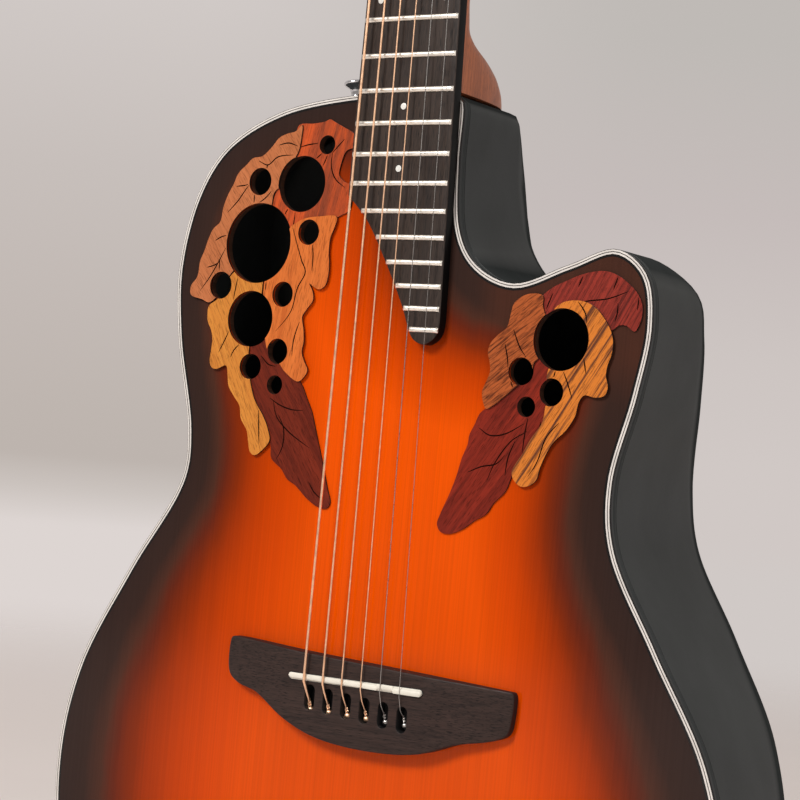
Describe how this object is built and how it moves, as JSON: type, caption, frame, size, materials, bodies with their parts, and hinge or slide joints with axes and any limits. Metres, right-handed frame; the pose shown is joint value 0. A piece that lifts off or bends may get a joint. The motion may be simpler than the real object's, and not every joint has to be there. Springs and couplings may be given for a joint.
{
  "type": "acoustic-electric guitar",
  "caption": "Bowl-back acoustic guitar with a cutaway, sunburst top, leaf inlays round clustered sound holes, slanted fingerboard end, preamp controls and geared tuners.",
  "frame": {"origin": "on the centreline, in the soundboard's plane, where the nut meets the fingerboard", "axes": "+Z along the neck to the headstock, -Y out of the soundboard to the player's audience, +X to the treble side"},
  "size_m": [0.3881, 0.1347, 1.0408],
  "materials": {
    "spruce": "gloss lacquer over a sunburst stain, orange to dark brown",
    "binding_plastic": "gloss, white with thin black lines",
    "bowl_composite": "satin, fine moulded texture",
    "mahogany": "satin, open pores",
    "rosewood": "dark, satin, open pores",
    "inner_spruce": "bare planed wood",
    "maple_veneer": "gloss veneer, light brown",
    "padauk_veneer": "gloss veneer, orange red",
    "tan_veneer": "gloss veneer, tan",
    "yellow_veneer": "gloss veneer, yellow brown with stripes",
    "red_veneer": "gloss veneer, dark red with streaks",
    "bone": "satin white moulded bone substitute",
    "bronze_string": "round-wound bronze wire",
    "steel": "drawn plain steel",
    "chrome": "polished plating",
    "black_plastic": "satin moulded black"
  },
  "bodies": {
    "guitar": {"access_cover": "black_plastic", "binding": "binding_plastic", "bowl": "bowl_composite", "brace_bass": "inner_spruce", "brace_treble": "inner_spruce", "brace_upper": "inner_spruce", "bridge": "rosewood", "bridge_plate": "inner_spruce", "fingerboard": "rosewood", "headstock_overlay": "rosewood", "leaf_bass_inner": "tan_veneer", "leaf_bass_left": "yellow_veneer", "leaf_bass_lower": "red_veneer", "leaf_bass_outer": "maple_veneer", "leaf_bass_top": "padauk_veneer", "leaf_treble_inner": "maple_veneer", "leaf_treble_lower": "red_veneer", "leaf_treble_outer": "yellow_veneer", "leaf_treble_top": "red_veneer", "neck": "mahogany", "neck_block": "mahogany", "nut": "bone", "output_jack": "chrome", "preamp_panel": "black_plastic", "saddle": "bone", "soundboard": "spruce", "strap_button_shoulder": "chrome", "strap_button_tail": "chrome", "string_a": "bronze_string", "string_b": "steel", "string_d": "bronze_string", "string_g": "bronze_string", "string_high_e": "steel", "string_low_e": "bronze_string", "truss_rod": "steel", "truss_rod_cover": "black_plastic", "tuner_housing_bass_1": "chrome", "tuner_housing_bass_2": "chrome", "tuner_housing_bass_3": "chrome", "tuner_housing_treble_1": "chrome", "tuner_housing_treble_2": "chrome", "tuner_housing_treble_3": "chrome"},
    "key_bass_1": {"tuner_key_bass_1": "chrome"},
    "post_bass_1": {"tuner_post_bass_1": "chrome"},
    "key_bass_2": {"tuner_key_bass_2": "chrome"},
    "post_bass_2": {"tuner_post_bass_2": "chrome"},
    "key_bass_3": {"tuner_key_bass_3": "chrome"},
    "post_bass_3": {"tuner_post_bass_3": "chrome"},
    "key_treble_1": {"tuner_key_treble_1": "chrome"},
    "post_treble_1": {"tuner_post_treble_1": "chrome"},
    "key_treble_2": {"tuner_key_treble_2": "chrome"},
    "post_treble_2": {"tuner_post_treble_2": "chrome"},
    "key_treble_3": {"tuner_key_treble_3": "chrome"},
    "post_treble_3": {"tuner_post_treble_3": "chrome"},
    "slider_bass": {"slider_bass": "black_plastic"},
    "slider_middle": {"slider_middle": "black_plastic"},
    "slider_treble": {"slider_treble": "black_plastic"},
    "volume_knob": {"volume_knob": "black_plastic"},
    "tuner_button": {"tuner_button": "black_plastic"}
  },
  "joints": [
    {"name": "key_bass_1_turn", "type": "hinge", "parent": "guitar", "child": "key_bass_1", "pos_m": [-0.021, 0.03115, 0.05249], "axis": [-1, 0, 0], "continuous": true},
    {"name": "post_bass_1_turn", "type": "hinge", "parent": "guitar", "child": "post_bass_1", "pos_m": [-0.021, 0.01012, 0.04945], "axis": [0, 0.9744, -0.225], "continuous": true},
    {"name": "key_bass_2_turn", "type": "hinge", "parent": "guitar", "child": "key_bass_2", "pos_m": [-0.021, 0.04082, 0.09439], "axis": [-1, 0, 0], "continuous": true},
    {"name": "post_bass_2_turn", "type": "hinge", "parent": "guitar", "child": "post_bass_2", "pos_m": [-0.021, 0.0198, 0.09134], "axis": [0, 0.9744, -0.225], "continuous": true},
    {"name": "key_bass_3_turn", "type": "hinge", "parent": "guitar", "child": "key_bass_3", "pos_m": [-0.021, 0.05049, 0.13629], "axis": [-1, 0, 0], "continuous": true},
    {"name": "post_bass_3_turn", "type": "hinge", "parent": "guitar", "child": "post_bass_3", "pos_m": [-0.021, 0.02947, 0.13324], "axis": [0, 0.9744, -0.225], "continuous": true},
    {"name": "key_treble_1_turn", "type": "hinge", "parent": "guitar", "child": "key_treble_1", "pos_m": [0.021, 0.03115, 0.05249], "axis": [1, 0, 0], "continuous": true},
    {"name": "post_treble_1_turn", "type": "hinge", "parent": "guitar", "child": "post_treble_1", "pos_m": [0.021, 0.01012, 0.04945], "axis": [0, 0.9744, -0.225], "continuous": true},
    {"name": "key_treble_2_turn", "type": "hinge", "parent": "guitar", "child": "key_treble_2", "pos_m": [0.021, 0.04082, 0.09439], "axis": [1, 0, 0], "continuous": true},
    {"name": "post_treble_2_turn", "type": "hinge", "parent": "guitar", "child": "post_treble_2", "pos_m": [0.021, 0.0198, 0.09134], "axis": [0, 0.9744, -0.225], "continuous": true},
    {"name": "key_treble_3_turn", "type": "hinge", "parent": "guitar", "child": "key_treble_3", "pos_m": [0.021, 0.05049, 0.13629], "axis": [1, 0, 0], "continuous": true},
    {"name": "post_treble_3_turn", "type": "hinge", "parent": "guitar", "child": "post_treble_3", "pos_m": [0.021, 0.02947, 0.13324], "axis": [0, 0.9744, -0.225], "continuous": true},
    {"name": "slider_bass_travel", "type": "slide", "parent": "guitar", "child": "slider_bass", "axis": [0, 1, 0], "range_m": [-0.008, 0.008]},
    {"name": "slider_middle_travel", "type": "slide", "parent": "guitar", "child": "slider_middle", "axis": [0, 1, 0], "range_m": [-0.008, 0.008]},
    {"name": "slider_treble_travel", "type": "slide", "parent": "guitar", "child": "slider_treble", "axis": [0, 1, 0], "range_m": [-0.008, 0.008]},
    {"name": "volume_turn", "type": "hinge", "parent": "guitar", "child": "volume_knob", "pos_m": [-0.1191, 0.033, -0.38861], "axis": [-0.7932, 0, 0.6089], "range_deg": [-150, 150]},
    {"name": "tuner_button_press", "type": "slide", "parent": "guitar", "child": "tuner_button", "axis": [0.8975, 0, -0.441], "range_m": [0, 0.0012], "stiffness_N_per_m": 400}
  ],
  "couplings": [
    {"joint": "post_bass_1_turn", "follows": "key_bass_1_turn", "ratio": 0.071429},
    {"joint": "post_bass_2_turn", "follows": "key_bass_2_turn", "ratio": 0.071429},
    {"joint": "post_bass_3_turn", "follows": "key_bass_3_turn", "ratio": 0.071429},
    {"joint": "post_treble_1_turn", "follows": "key_treble_1_turn", "ratio": 0.071429},
    {"joint": "post_treble_2_turn", "follows": "key_treble_2_turn", "ratio": 0.071429},
    {"joint": "post_treble_3_turn", "follows": "key_treble_3_turn", "ratio": 0.071429}
  ]
}
